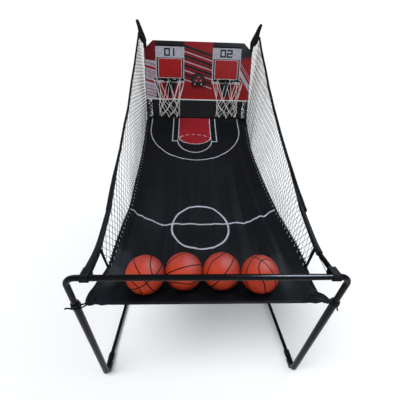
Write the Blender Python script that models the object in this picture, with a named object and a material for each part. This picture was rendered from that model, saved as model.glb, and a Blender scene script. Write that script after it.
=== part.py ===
"""Two-player arcade basketball machine.

A fold-up steel tube frame carries a fabric ball ramp, two side nets, a backboard with two hoops
and a score box, and four balls. Metres, +Z up. The players stand at -Y and the origin is on the
floor under the middle of the machine. Lengthwise positions are distances behind the front rail.
"""

import math

import bmesh
import bpy
from mathutils import Matrix, Vector

# Gaps and tolerances
GAP = 0.0003
BORE_CLEARANCE = 0.0003
HINGE_CLEARANCE = 0.00008

# Tubes
TUBE_RADIUS = 0.0125
TUBE_WALL = 0.0012
LEG_RADIUS = 0.016
THIN_RADIUS = 0.011
TUBE_SEGMENTS = 16
BEND_STEPS = 7
ROD_SEGMENTS = 24
CUT_OVERSHOOT = 0.01

# Balls
BALL_RADIUS = 0.0855
BALL_WALL = 0.0028
BALL_BANDS = 12
VALVE_RADIUS = 0.0018
BALL_ROW_X = -0.018
BALL_SEATS = ((-0.2552, 0.150, 0.7927), (-0.0857, 0.178, 0.7880),
              (0.0857, 0.178, 0.7880), (0.2552, 0.150, 0.7927))

# Front frame
LEG_X = 0.5475
RAIL_Z = 0.895
RAIL_BEND = 0.042
LEG_TOP_Z = 0.71
LEG_WALL = 0.0013
RAIL_END_Z = 0.65
FOOT_DEPTH = 0.25
FLOOR_AXIS_Z = 0.022
FOOT_BEND = 0.04
LEG_END_DEPTH = 0.33
COLLAR_RADIUS = 0.0185
COLLAR_LENGTH = 0.022
SLEEVE_RADIUS = 0.0165
SLEEVE_LENGTH = 0.04
FRONT_PAD_HALF_WIDTH = 0.014
FRONT_PAD_START = FOOT_DEPTH + 0.018
FRONT_PAD_END = LEG_END_DEPTH - 0.005
# Corner points of a net arm (width, depth, height), and how far both arms lean to +X at each
ARM_POINTS = ((0.480, 0.018, 0.8955), (0.4995, 0.21, 0.876), (0.4905, 0.44, 1.0))
ARM_LEAN = (0.0095, 0.0125, 0.0105)
ARM_BEND = 0.05
CONNECTOR_HALF_WIDTH = 0.016
CONNECTOR_HALF = 0.0155
CONNECTOR_CHAMFER = 0.007
CONNECTOR_DEPTH = 0.045

# Rear frame
FOLD_DEPTH = 1.948
UPRIGHT_X = 0.485
UPRIGHT_DEPTH = 1.99
JOINT_FRONT = 1.925
JOINT_REAR = 2.025
JOINT_OUTER_X = 0.536
JOINT_INNER_X = 0.4625
JOINT_BOTTOM_Z = 0.005
JOINT_TOP_Z = 0.085
BOLT_RADIUS = 0.004
BOLT_HEAD_RADIUS = 0.008
BOLT_INNER_X = 0.504
BOLT_HEAD_X = 0.559
BOLT_OUTER_X = 0.565
FLOOR_TUBE_END = FOLD_DEPTH + 0.015
BASE_ARM_FRONT = 1.30
BASE_ARM_REAR = 1.964
BASE_PAD_HALF_WIDTH = 0.018
BASE_PAD_LENGTH = 0.05
PAD_INSET = 0.005
JOINT_PAD_INSET = 0.008
CROSS_TUBE_HALF_LENGTH = 0.499
UPRIGHT_FOOT_Z = 0.0425
UPRIGHT_BEND = 0.05
HORN_TURN_Z = 1.945
HORN_TIP = (0.52, 1.84, 2.05)
BOARD_BARS = (("lower", 1.50), ("upper", 1.80))

# Board
BOARD_FRONT = 1.97
BOARD_THICKNESS = 0.007
BOARD_HALF_WIDTH = 0.49
BOARD_BOTTOM_Z = 1.444
BOARD_TOP_Z = 1.93
BOARD_SHOULDER_Z = 1.86
BOARD_TOP_HALF_WIDTH = 0.413
VALANCE_HALF_WIDTH = 0.4325
VALANCE_DEPTH = 1.945
VALANCE_BOTTOM_Z = 1.272
VALANCE_THICKNESS = 0.0015
TRIM_HEIGHT = 0.008
TRIM_LIP = 0.002

# Hoops
HOOP_X = 0.261
HOOP_DEPTH = 1.82
HOOP_Z = 1.61
RIM_RADIUS = 0.132
RIM_ROD = 0.006
STRUT_X = 0.05
STRUT_RADIUS = 0.004
PLATE_THICKNESS = 0.0042
PLATE_BOTTOM_Z = 1.598
PLATE_TOP_Z = 1.6195
PLATE_HALF_WIDTH = 0.062
RIM_SEGMENTS = 40
RIM_ROD_SEGMENTS = 10
STRUT_SEGMENTS = 12
HOOP_NET_TOP_Z = 1.582
HOOP_NET_BOTTOM_Z = 1.31
HOOP_NET_TOP_RADIUS = 0.1295
HOOP_NET_BOTTOM_RADIUS = 0.095
HOOP_NET_WALL = 0.0015
HOOP_NET_SEGMENTS = 32
SENSOR_OUTLINE = ((-0.055, 1.58), (-0.045, 1.55), (-0.018, 1.475), (0.018, 1.475), (0.045, 1.55),
                  (0.055, 1.58))
SENSOR_THICKNESS = 0.010
PADDLE_AXIS = (1.9645, 1.590)
PADDLE_STATIONS = ((1.9665, 1.590, 0.015), (1.935, 1.592, 0.015), (1.898, 1.50, 0.005))
PADDLE_THICKNESS = 0.002

# Score box
SCORE_DEPTH = 0.022
SCORE_OUTLINE = ((-0.06, 1.568), (0.06, 1.568), (0.06, 1.64), (0.03, 1.67), (-0.03, 1.67), (-0.06, 1.64))
DISPLAY_OUTLINE = ((-0.054, 1.589), (0.054, 1.589), (0.054, 1.638), (0.028, 1.664), (-0.028, 1.664),
                   (-0.054, 1.638))
DISPLAY_THICKNESS = 0.0017
DISPLAY_CENTRE_Z = 1.625
DISPLAY_SHRINK = 0.985
BUTTON_RADIUS = 0.005
BUTTON_X = 0.03
BUTTON_Z = 1.5785
BUTTON_LENGTH = 0.008
BUTTON_TRAVEL = 0.0025
BUTTON_PROUD = 0.003
BATTERY_HALF_WIDTH = 0.06
BATTERY_Z = (1.575, 1.665)
BATTERY_DEPTH = 0.035
BATTERY_WALL = 0.003
DOOR_THICKNESS = 0.0022

# Soft goods
RAMP_THICKNESS = 0.002
RAMP_HALF_WIDTH = 0.4535
RAMP_PROFILE = ((0.045, 0.727), (0.165, 0.700), (0.54, 0.722), (0.72, 0.745), (1.05, 0.840),
                (1.30, 0.940), (1.62, 1.090), (1.955, 1.262), (1.973, 1.43))
NET_OUTLINE = ((0.26, 0.79), (0.54, 0.83), (0.73, 0.855), (1.054, 0.93), (1.52, 1.06), (1.935, 1.262),
               (1.935, 1.86), (1.835, 1.975), (0.44, 0.985), (0.24, 0.88))
NET_X = 0.4545
NET_THICKNESS = 0.001
GUSSET_X = 0.4635
GUSSET_THICKNESS = 0.002
GUSSET_OUTLINE = ((1.962, 1.80), (1.962, 1.892), (1.985, 1.905), (1.985, 1.955), (1.85, 2.045),
                  (1.825, 1.98))

# The machine's front and rear limits set the origin
FRONT_LIMIT = -CONNECTOR_HALF
RAIL_Y = -(FRONT_LIMIT + JOINT_REAR) / 2.0

BLACK_PAINT = ((0.02, 0.02, 0.022), 0.35, 0.6)
BLACK_PLASTIC = ((0.03, 0.03, 0.032), 0.5, 0.0)
BLACK_FABRIC = ((0.025, 0.025, 0.028), 0.85, 0.0)
RUBBER = ((0.03, 0.03, 0.03), 0.8, 0.0)
STEEL = ((0.6, 0.6, 0.62), 0.3, 1.0)
RED_BOARD = ((0.5, 0.06, 0.06), 0.4, 0.0)
WHITE_PLASTIC = ((0.8, 0.8, 0.8), 0.5, 0.0)
WHITE_CORD = ((0.85, 0.85, 0.85), 0.8, 0.0)
BALL_RUBBER = ((0.75, 0.2, 0.1), 0.6, 0.0)
RED_LENS = ((0.3, 0.02, 0.02), 0.2, 0.0)

SIDES = (("left", -1.0), ("right", 1.0))


def clear_scene():
    """Start from an empty scene."""
    for old in list(bpy.data.objects):
        bpy.data.objects.remove(old)


def place(x, depth, z):
    """A point given by its width position, distance behind the front rail, and height."""
    return Vector((x, RAIL_Y + depth, z))


def make_material(name, finish):
    """A Principled material from a (colour, roughness, metallic) finish."""
    colour, roughness, metallic = finish
    material = bpy.data.materials.new(name + "_material")
    material.use_nodes = True
    shader = material.node_tree.nodes["Principled BSDF"]
    shader.inputs["Base Color"].default_value = (*colour, 1.0)
    shader.inputs["Roughness"].default_value = roughness
    shader.inputs["Metallic"].default_value = metallic
    return material


def add_mesh(name, points, faces, finish):
    """A closed mesh object with outward faces and its own material."""
    mesh = bpy.data.meshes.new(name)
    mesh.from_pydata([tuple(point) for point in points], [], faces)
    shape = bmesh.new()
    shape.from_mesh(mesh)
    bmesh.ops.recalc_face_normals(shape, faces=shape.faces)
    shape.to_mesh(mesh)
    shape.free()
    if finish is not None:
        mesh.materials.append(make_material(name, finish))
    node = bpy.data.objects.new(name, mesh)
    bpy.context.collection.objects.link(node)
    return node


def set_origin(node, origin):
    """Move a node's origin to a point on its joint axis without moving its shape."""
    node.data.transform(Matrix.Translation(-origin))
    node.location = origin


def bend_corners(corners, radius):
    """Replace each inner corner of a path by an arc."""
    path = [corners[0]]
    for before, corner, after in zip(corners, corners[1:], corners[2:]):
        way_in = (before - corner).normalized()
        way_out = (after - corner).normalized()
        half_angle = way_in.angle(way_out) / 2.0
        centre = corner + (way_in + way_out).normalized() * (radius / math.sin(half_angle))
        start = corner + way_in * (radius / math.tan(half_angle)) - centre
        end = corner + way_out * (radius / math.tan(half_angle)) - centre
        turn = start.angle(end)
        for step in range(BEND_STEPS + 1):
            share = step / BEND_STEPS
            weight_start = math.sin((1.0 - share) * turn) / math.sin(turn)
            weight_end = math.sin(share * turn) / math.sin(turn)
            path.append(centre + start * weight_start + end * weight_end)
    path.append(corners[-1])
    return path


def path_directions(path):
    """The direction of a path at each of its points."""
    steps = [(after - before).normalized() for before, after in zip(path, path[1:])]
    middles = [(before + after).normalized() for before, after in zip(steps, steps[1:])]
    return [steps[0]] + middles + [steps[-1]]


def path_rings(path, radius, segments=TUBE_SEGMENTS):
    """Rings of points around a path, turned as little as possible from one to the next."""
    directions = path_directions(path)
    seed = Vector((0.0, 0.0, 1.0)) if abs(directions[0].z) < 0.9 else Vector((0.0, 1.0, 0.0))
    side = directions[0].cross(seed).normalized()
    rings = []
    for point, direction in zip(path, directions):
        side = (side - direction * side.dot(direction)).normalized()
        other = direction.cross(side)
        angles = [math.tau * index / segments for index in range(segments)]
        rings.append([point + (side * math.cos(a) + other * math.sin(a)) * radius for a in angles])
    return rings


def wall_faces(first_ring, ring_count, segments):
    """Quads between neighbouring rings, whose points are numbered one ring after another."""
    faces = []
    for ring in range(first_ring, first_ring + ring_count - 1):
        for index in range(segments):
            following = (index + 1) % segments
            low, high = ring * segments, (ring + 1) * segments
            faces.append((low + index, low + following, high + following, high + index))
    return faces


def add_tube(name, path, radius, wall, finish):
    """A hollow tube with open ends."""
    outer = path_rings(path, radius)
    inner = path_rings(path, radius - wall)
    points = [point for ring in outer + inner for point in ring]
    count = len(path)
    faces = wall_faces(0, count, TUBE_SEGMENTS) + wall_faces(count, count, TUBE_SEGMENTS)
    for ring in (0, count - 1):
        for index in range(TUBE_SEGMENTS):
            following = (index + 1) % TUBE_SEGMENTS
            outside, inside = ring * TUBE_SEGMENTS, (ring + count) * TUBE_SEGMENTS
            faces.append((outside + index, outside + following, inside + following, inside + index))
    return add_mesh(name, points, faces, finish)


def add_rod(name, start, end, radius, finish=None, segments=ROD_SEGMENTS):
    """A solid round rod between two points."""
    rings = path_rings([start, end], radius, segments)
    points = [point for ring in rings for point in ring]
    faces = wall_faces(0, 2, segments)
    faces += [tuple(range(segments)), tuple(range(segments, 2 * segments))]
    return add_mesh(name, points, faces, finish)


def add_box(name, low, high, finish):
    """A box between two opposite corners."""
    points = [(x, y, z) for x in (low[0], high[0]) for y in (low[1], high[1]) for z in (low[2], high[2])]
    faces = [(0, 1, 3, 2), (4, 6, 7, 5), (0, 4, 5, 1), (2, 3, 7, 6), (0, 2, 6, 4), (1, 5, 7, 3)]
    return add_mesh(name, points, faces, finish)


def add_slab(name, outline, near, far, as_point, finish):
    """A flat outline pulled from one offset to another; as_point turns (u, v, offset) into a point."""
    count = len(outline)
    points = [as_point(u, v, offset) for offset in (near, far) for u, v in outline]
    faces = [tuple(range(count)), tuple(range(count, 2 * count))]
    for index in range(count):
        following = (index + 1) % count
        faces.append((index, following, count + following, count + index))
    return add_mesh(name, points, faces, finish)


def add_upright_slab(name, outline, near, far, finish):
    """A slab facing the players, from an outline in width and height."""
    return add_slab(name, outline, near, far, lambda x, z, depth: place(x, depth, z), finish)


def add_side_slab(name, outline, near, far, finish):
    """A slab facing sideways, from an outline in depth and height."""
    return add_slab(name, outline, near, far, lambda depth, z, x: place(x, depth, z), finish)


def add_lathe(name, profile, centre, segments, finish, closed=False):
    """A turned shape about a vertical axis; profile points are (radius, height)."""
    points, rows = [], []
    for radius, height in profile:
        if radius == 0.0:
            rows.append([len(points)] * segments)
            points.append(centre + Vector((0.0, 0.0, height)))
            continue
        rows.append(list(range(len(points), len(points) + segments)))
        for index in range(segments):
            angle = math.tau * index / segments
            points.append(centre + Vector((radius * math.cos(angle), radius * math.sin(angle), height)))
    pairs = list(zip(rows, rows[1:]))
    if closed:
        pairs.append((rows[-1], rows[0]))
    faces = []
    for row, next_row in pairs:
        for index in range(segments):
            following = (index + 1) % segments
            corners = [row[index], row[following], next_row[following], next_row[index]]
            faces.append(tuple(dict.fromkeys(corners)))
    return add_mesh(name, points, faces, finish)


def add_strip(name, stations, thickness, finish):
    """A thin sheet across the machine; stations are (depth, height, half width)."""
    line = [place(0.0, depth, z) for depth, z, _ in stations]
    across = Vector((1.0, 0.0, 0.0))
    points = []
    for point, direction, (_, _, half_width) in zip(line, path_directions(line), stations):
        normal = across.cross(direction).normalized() * (thickness / 2.0)
        points += [point - across * half_width - normal, point + across * half_width - normal,
                   point + across * half_width + normal, point - across * half_width + normal]
    faces = wall_faces(0, len(stations), 4)
    last = 4 * (len(stations) - 1)
    faces += [(0, 1, 2, 3), (last, last + 1, last + 2, last + 3)]
    return add_mesh(name, points, faces, finish)


def shift_x(node, distance):
    """Slide a node's shape sideways."""
    node.data.transform(Matrix.Translation((distance, 0.0, 0.0)))


def add_boolean(body, tool, operation):
    """Cut a tool from a body, or join it on."""
    tool.hide_render = True
    tool.display_type = "WIRE"
    change = body.modifiers.new(tool.name, "BOOLEAN")
    change.operation = operation
    change.solver = "EXACT"
    change.object = tool


def leg_depth(z):
    """How far behind the rail a leg's axis is at a height."""
    return FOOT_DEPTH * (RAIL_Z - z) / (RAIL_Z - FLOOR_AXIS_Z)


def fold_origin(side):
    """The point of the fold axis beside one leg."""
    return place(side * LEG_X, FOLD_DEPTH, FLOOR_AXIS_Z)


def arm_corners(side):
    """The net arm's corner points: out of the rail connector, the bend, and the upper end."""
    return [place(side * x + lean, depth, z) for (x, depth, z), lean in zip(ARM_POINTS, ARM_LEAN)]


def build_front_rail():
    """The rail the players stand at, bent down into both legs."""
    corners = [place(-LEG_X, leg_depth(RAIL_END_Z), RAIL_END_Z), place(-LEG_X, 0.0, RAIL_Z),
               place(LEG_X, 0.0, RAIL_Z), place(LEG_X, leg_depth(RAIL_END_Z), RAIL_END_Z)]
    rail = add_tube("front_rail", bend_corners(corners, RAIL_BEND), TUBE_RADIUS, TUBE_WALL, BLACK_PAINT)
    set_origin(rail, place(0.0, FOLD_DEPTH, FLOOR_AXIS_Z))


def build_leg(label, side):
    """The thicker lower leg, bent to lie along the floor, its top collar and its rubber pad."""
    x = side * LEG_X
    top = place(x, leg_depth(LEG_TOP_Z), LEG_TOP_Z)
    foot = place(x, FOOT_DEPTH, FLOOR_AXIS_Z)
    path = bend_corners([top, foot, place(x, LEG_END_DEPTH, FLOOR_AXIS_Z)], FOOT_BEND)
    leg = add_tube("leg_" + label, path, LEG_RADIUS, LEG_WALL, BLACK_PAINT)
    upward = (top - foot).normalized()
    ends = [top + upward * GAP, top + upward * COLLAR_LENGTH]
    collar_wall = COLLAR_RADIUS - TUBE_RADIUS - GAP
    collar = add_tube("leg_collar_" + label, ends, COLLAR_RADIUS, collar_wall, BLACK_PLASTIC)
    pad_low = place(x - FRONT_PAD_HALF_WIDTH, FRONT_PAD_START, 0.0)
    pad_high = place(x + FRONT_PAD_HALF_WIDTH, FRONT_PAD_END, FLOOR_AXIS_Z - LEG_RADIUS - GAP)
    pad = add_box("front_pad_" + label, pad_low, pad_high, RUBBER)
    for node in (leg, collar, pad):
        set_origin(node, fold_origin(side))


def build_floor_tube(label, side):
    """The tube along the floor from the leg to the fold hinge, with its plastic sleeve."""
    x = side * LEG_X
    ends = [place(x, LEG_END_DEPTH - SLEEVE_LENGTH, FLOOR_AXIS_Z), place(x, FLOOR_TUBE_END, FLOOR_AXIS_Z)]
    tube = add_tube("floor_tube_" + label, ends, THIN_RADIUS, TUBE_WALL, BLACK_PAINT)
    reach = Vector((THIN_RADIUS + CUT_OVERSHOOT, 0.0, 0.0))
    hole_ends = [fold_origin(side) - reach, fold_origin(side) + reach]
    add_boolean(tube, add_rod("cut_fold_" + label, *hole_ends, BOLT_RADIUS + HINGE_CLEARANCE), "DIFFERENCE")
    sleeve_ends = [place(x, LEG_END_DEPTH + along, FLOOR_AXIS_Z) for along in (GAP, SLEEVE_LENGTH)]
    sleeve_wall = SLEEVE_RADIUS - THIN_RADIUS - GAP
    sleeve = add_tube("foot_sleeve_" + label, sleeve_ends, SLEEVE_RADIUS, sleeve_wall, BLACK_PLASTIC)
    for node in (tube, sleeve):
        set_origin(node, fold_origin(side))


def build_net_arm(label, side):
    """The arm that spreads the side net, and the connector that clips it to the rail."""
    corners = arm_corners(side)
    arm = add_tube("net_arm_" + label, bend_corners(corners, ARM_BEND), THIN_RADIUS, TUBE_WALL, BLACK_PAINT)
    half, edge = CONNECTOR_HALF, CONNECTOR_HALF - CONNECTOR_CHAMFER
    outline = [(-half, RAIL_Z - edge), (-edge, RAIL_Z - half), (CONNECTOR_DEPTH, RAIL_Z - half),
               (CONNECTOR_DEPTH, RAIL_Z + half), (-edge, RAIL_Z + half), (-half, RAIL_Z + edge)]
    near, far = corners[0].x - CONNECTOR_HALF_WIDTH, corners[0].x + CONNECTOR_HALF_WIDTH
    connector = add_side_slab("rail_connector_" + label, outline, near, far, BLACK_PLASTIC)
    rail_ends = [place(near - CUT_OVERSHOOT, 0.0, RAIL_Z), place(far + CUT_OVERSHOOT, 0.0, RAIL_Z)]
    rail_bore = add_rod("cut_rail_" + label, *rail_ends, TUBE_RADIUS + 2.0 * BORE_CLEARANCE)
    along = (corners[1] - corners[0]).normalized()
    arm_ends = [corners[0] - along * GAP, corners[0] + along * (CONNECTOR_DEPTH + CUT_OVERSHOOT)]
    arm_bore = add_rod("cut_arm_" + label, *arm_ends, THIN_RADIUS + BORE_CLEARANCE)
    for bore in (rail_bore, arm_bore):
        add_boolean(connector, bore, "DIFFERENCE")
    for node in (arm, connector):
        set_origin(node, fold_origin(side))


def build_rear_joint(label, side):
    """The moulded corner that joins the upright, the base tubes and the fold bolt."""
    xs = sorted((side * JOINT_INNER_X, side * JOINT_OUTER_X))
    low, high = place(xs[0], JOINT_FRONT, JOINT_BOTTOM_Z), place(xs[1], JOINT_REAR, JOINT_TOP_Z)
    joint = add_box("rear_joint_" + label, low, high, BLACK_PLASTIC)
    x = side * UPRIGHT_X
    bores = {
        "arm": (place(x, JOINT_FRONT - CUT_OVERSHOOT, FLOOR_AXIS_Z),
                place(x, BASE_ARM_REAR + GAP, FLOOR_AXIS_Z)),
        "cross": (place(side * (JOINT_INNER_X - CUT_OVERSHOOT), UPRIGHT_DEPTH, FLOOR_AXIS_Z),
                  place(side * (CROSS_TUBE_HALF_LENGTH + GAP), UPRIGHT_DEPTH, FLOOR_AXIS_Z)),
        "upright": (place(x, UPRIGHT_DEPTH, JOINT_TOP_Z + CUT_OVERSHOOT),
                    place(x, UPRIGHT_DEPTH, UPRIGHT_FOOT_Z - GAP)),
    }
    for use, ends in bores.items():
        cutter = add_rod("cut_" + use + "_joint_" + label, *ends, TUBE_RADIUS + BORE_CLEARANCE)
        add_boolean(joint, cutter, "DIFFERENCE")
    bolt_reach = (BOLT_INNER_X - GAP, JOINT_OUTER_X + CUT_OVERSHOOT)
    bolt_ends = [place(side * across, FOLD_DEPTH, FLOOR_AXIS_Z) for across in bolt_reach]
    bolt_bore = add_rod("cut_bolt_" + label, *bolt_ends, BOLT_RADIUS + HINGE_CLEARANCE)
    add_boolean(joint, bolt_bore, "DIFFERENCE")


def build_fold_bolt(label, side):
    """The bolt the floor tube turns on when the front frame folds up."""
    stops = (BOLT_INNER_X, BOLT_HEAD_X, BOLT_HEAD_X, BOLT_OUTER_X)
    points = [place(side * x, FOLD_DEPTH, FLOOR_AXIS_Z) for x in stops]
    shank = path_rings(points[:2], BOLT_RADIUS, ROD_SEGMENTS)
    head = path_rings(points[2:], BOLT_HEAD_RADIUS, ROD_SEGMENTS)
    corners = [point for ring in shank + head for point in ring]
    count = len(corners)
    faces = wall_faces(0, len(points), ROD_SEGMENTS)
    faces += [tuple(range(ROD_SEGMENTS)), tuple(range(count - ROD_SEGMENTS, count))]
    add_mesh("fold_bolt_" + label, corners, faces, STEEL)


def build_base(label, side):
    """One base arm on the floor and the pads under its two ends."""
    x = side * UPRIGHT_X
    ends = [place(x, BASE_ARM_FRONT, FLOOR_AXIS_Z), place(x, BASE_ARM_REAR, FLOOR_AXIS_Z)]
    add_tube("base_arm_" + label, ends, TUBE_RADIUS, TUBE_WALL, BLACK_PAINT)
    pad_start = BASE_ARM_FRONT + PAD_INSET
    low = place(x - BASE_PAD_HALF_WIDTH, pad_start, 0.0)
    high = place(x + BASE_PAD_HALF_WIDTH, pad_start + BASE_PAD_LENGTH, FLOOR_AXIS_Z - TUBE_RADIUS - GAP)
    add_box("base_pad_" + label, low, high, RUBBER)
    xs = sorted((side * (JOINT_INNER_X + JOINT_PAD_INSET), side * (JOINT_OUTER_X - JOINT_PAD_INSET)))
    low = place(xs[0], JOINT_FRONT + 2.0 * JOINT_PAD_INSET, 0.0)
    high = place(xs[1], JOINT_REAR - 2.0 * JOINT_PAD_INSET, JOINT_BOTTOM_Z - GAP)
    add_box("rear_pad_" + label, low, high, RUBBER)


def build_upright(label, side):
    """The rear upright with its horn leaning forward over the board's shoulder."""
    x = side * UPRIGHT_X
    tip_x, tip_depth, tip_z = HORN_TIP
    corners = [place(x, UPRIGHT_DEPTH, UPRIGHT_FOOT_Z), place(x, UPRIGHT_DEPTH, HORN_TURN_Z),
               place(side * tip_x, tip_depth, tip_z)]
    add_tube("upright_" + label, bend_corners(corners, UPRIGHT_BEND), TUBE_RADIUS, TUBE_WALL, BLACK_PAINT)


def build_cross_tubes():
    """The base cross tube and the two bars behind the board."""
    base_reach = CROSS_TUBE_HALF_LENGTH
    base_ends = [place(x, UPRIGHT_DEPTH, FLOOR_AXIS_Z) for x in (-base_reach, base_reach)]
    add_tube("base_cross_tube", base_ends, TUBE_RADIUS, TUBE_WALL, BLACK_PAINT)
    reach = UPRIGHT_X - TUBE_RADIUS - GAP
    for label, z in BOARD_BARS:
        ends = [place(x, UPRIGHT_DEPTH, z) for x in (-reach, reach)]
        add_tube("board_bar_" + label, ends, TUBE_RADIUS, TUBE_WALL, BLACK_PAINT)


def build_board():
    """The printed board with cut-off shoulders, its bottom strip and the fabric valance."""
    outline = [(-BOARD_HALF_WIDTH, BOARD_BOTTOM_Z), (BOARD_HALF_WIDTH, BOARD_BOTTOM_Z),
               (BOARD_HALF_WIDTH, BOARD_SHOULDER_Z), (BOARD_TOP_HALF_WIDTH, BOARD_TOP_Z),
               (-BOARD_TOP_HALF_WIDTH, BOARD_TOP_Z), (-BOARD_HALF_WIDTH, BOARD_SHOULDER_Z)]
    add_upright_slab("backboard", outline, BOARD_FRONT, BOARD_FRONT + BOARD_THICKNESS, RED_BOARD)
    trim_top = BOARD_BOTTOM_Z - GAP
    trim_low = place(-BOARD_HALF_WIDTH, VALANCE_DEPTH - TRIM_LIP, trim_top - TRIM_HEIGHT)
    trim_high = place(BOARD_HALF_WIDTH, BOARD_FRONT + BOARD_THICKNESS, trim_top)
    add_box("board_trim", trim_low, trim_high, WHITE_PLASTIC)
    low = place(-VALANCE_HALF_WIDTH, VALANCE_DEPTH, VALANCE_BOTTOM_Z)
    high = place(VALANCE_HALF_WIDTH, VALANCE_DEPTH + VALANCE_THICKNESS, trim_top - TRIM_HEIGHT - GAP)
    add_box("valance", low, high, BLACK_FABRIC)


def build_rim(label, side):
    """A rim: a round rod ring on two struts, and the plate that holds it to the board."""
    x = side * HOOP_X
    angles = [math.tau * index / RIM_ROD_SEGMENTS for index in range(RIM_ROD_SEGMENTS)]
    section = [(RIM_RADIUS + RIM_ROD * math.cos(a), RIM_ROD * math.sin(a)) for a in angles]
    centre = place(x, HOOP_DEPTH, HOOP_Z)
    rim = add_lathe("rim_" + label, section, centre, RIM_SEGMENTS, BLACK_PAINT, closed=True)
    ring_depth = HOOP_DEPTH + math.sqrt(RIM_RADIUS ** 2 - STRUT_X ** 2)
    plate_front = BOARD_FRONT - GAP - PLATE_THICKNESS
    for name, offset in (("a", -STRUT_X), ("b", STRUT_X)):
        ends = [place(x + offset, ring_depth, HOOP_Z), place(x + offset, plate_front - GAP, HOOP_Z)]
        strut = add_rod("strut_" + name + "_" + label, *ends, STRUT_RADIUS, segments=STRUT_SEGMENTS)
        add_boolean(rim, strut, "UNION")
    low = place(x - PLATE_HALF_WIDTH, plate_front, PLATE_BOTTOM_Z)
    high = place(x + PLATE_HALF_WIDTH, BOARD_FRONT - GAP, PLATE_TOP_Z)
    add_box("rim_plate_" + label, low, high, BLACK_PAINT)


def build_hoop_net(label, side):
    """The cord net under a rim, as a thin open sleeve."""
    profile = [(HOOP_NET_TOP_RADIUS, HOOP_NET_TOP_Z), (HOOP_NET_BOTTOM_RADIUS, HOOP_NET_BOTTOM_Z),
               (HOOP_NET_BOTTOM_RADIUS - HOOP_NET_WALL, HOOP_NET_BOTTOM_Z),
               (HOOP_NET_TOP_RADIUS - HOOP_NET_WALL, HOOP_NET_TOP_Z)]
    centre = place(side * HOOP_X, HOOP_DEPTH, 0.0)
    add_lathe("hoop_net_" + label, profile, centre, HOOP_NET_SEGMENTS, WHITE_CORD, closed=True)


def build_sensor(label, side):
    """The tapered switch housing on the board and the sprung paddle that hangs into the hoop."""
    x = side * HOOP_X
    rear = BOARD_FRONT - GAP
    outline = [(x + across, z) for across, z in SENSOR_OUTLINE]
    add_upright_slab("sensor_housing_" + label, outline, rear - SENSOR_THICKNESS, rear, BLACK_PLASTIC)
    paddle = add_strip("paddle_" + label, PADDLE_STATIONS, PADDLE_THICKNESS, BLACK_PLASTIC)
    shift_x(paddle, x)
    set_origin(paddle, place(x, *PADDLE_AXIS))


def build_score_box():
    """The score housing with its recessed display, and two push buttons."""
    front = BOARD_FRONT - GAP - SCORE_DEPTH
    housing = add_upright_slab("score_housing", SCORE_OUTLINE, front, BOARD_FRONT - GAP, BLACK_PLASTIC)
    recess_depth = front + DISPLAY_THICKNESS + GAP
    recess = add_upright_slab("cut_display", DISPLAY_OUTLINE, front - CUT_OVERSHOOT, recess_depth, None)
    add_boolean(housing, recess, "DIFFERENCE")
    centre_z = DISPLAY_CENTRE_Z
    window = [(x * DISPLAY_SHRINK, centre_z + (z - centre_z) * DISPLAY_SHRINK) for x, z in DISPLAY_OUTLINE]
    add_upright_slab("display", window, front, front + DISPLAY_THICKNESS, RED_LENS)
    for label, side in (("power", -1.0), ("mode", 1.0)):
        x = side * BUTTON_X
        inner = front + BUTTON_LENGTH - BUTTON_PROUD
        bore_ends = [place(x, front - CUT_OVERSHOOT, BUTTON_Z),
                     place(x, inner + BUTTON_TRAVEL + GAP, BUTTON_Z)]
        bore = add_rod("cut_button_" + label, *bore_ends, BUTTON_RADIUS + BORE_CLEARANCE)
        add_boolean(housing, bore, "DIFFERENCE")
        ends = [place(x, inner - BUTTON_LENGTH, BUTTON_Z), place(x, inner, BUTTON_Z)]
        button = add_rod("button_" + label, *ends, BUTTON_RADIUS, WHITE_PLASTIC)
        set_origin(button, place(x, front, BUTTON_Z))


def build_battery_box():
    """The battery box on the back of the board, open at the rear under a top-hung door."""
    front = BOARD_FRONT + BOARD_THICKNESS + GAP
    rear = front + BATTERY_DEPTH
    low_z, high_z = BATTERY_Z
    box = add_box("battery_box", place(-BATTERY_HALF_WIDTH, front, low_z),
                  place(BATTERY_HALF_WIDTH, rear, high_z), BLACK_PLASTIC)
    inner_half = BATTERY_HALF_WIDTH - BATTERY_WALL
    pocket = add_box("cut_battery", place(-inner_half, front + BATTERY_WALL, low_z + BATTERY_WALL),
                     place(inner_half, rear + CUT_OVERSHOOT, high_z - BATTERY_WALL), None)
    add_boolean(box, pocket, "DIFFERENCE")
    door_low = place(-BATTERY_HALF_WIDTH, rear + GAP, low_z)
    door_high = place(BATTERY_HALF_WIDTH, rear + GAP + DOOR_THICKNESS, high_z)
    door = add_box("battery_door", door_low, door_high, BLACK_PLASTIC)
    set_origin(door, place(0.0, rear + GAP + DOOR_THICKNESS, high_z))


def build_ramp():
    """The fabric ramp: a trough for the balls at the front, then a long rise to the board."""
    stations = [(depth, z, RAMP_HALF_WIDTH) for depth, z in RAMP_PROFILE]
    add_strip("ramp", stations, RAMP_THICKNESS, BLACK_FABRIC)


def build_side_net(label, side):
    """A side net from the ramp's edge up to the line between the arm and the horn."""
    near, far = side * NET_X, side * (NET_X + NET_THICKNESS)
    add_side_slab("side_net_" + label, NET_OUTLINE, near, far, BLACK_FABRIC)


def build_gusset(label, side):
    """The fabric gusset that closes the corner between the board and the horn."""
    near, far = side * GUSSET_X, side * (GUSSET_X + GUSSET_THICKNESS)
    add_side_slab("gusset_" + label, GUSSET_OUTLINE, near, far, BLACK_FABRIC)


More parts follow.
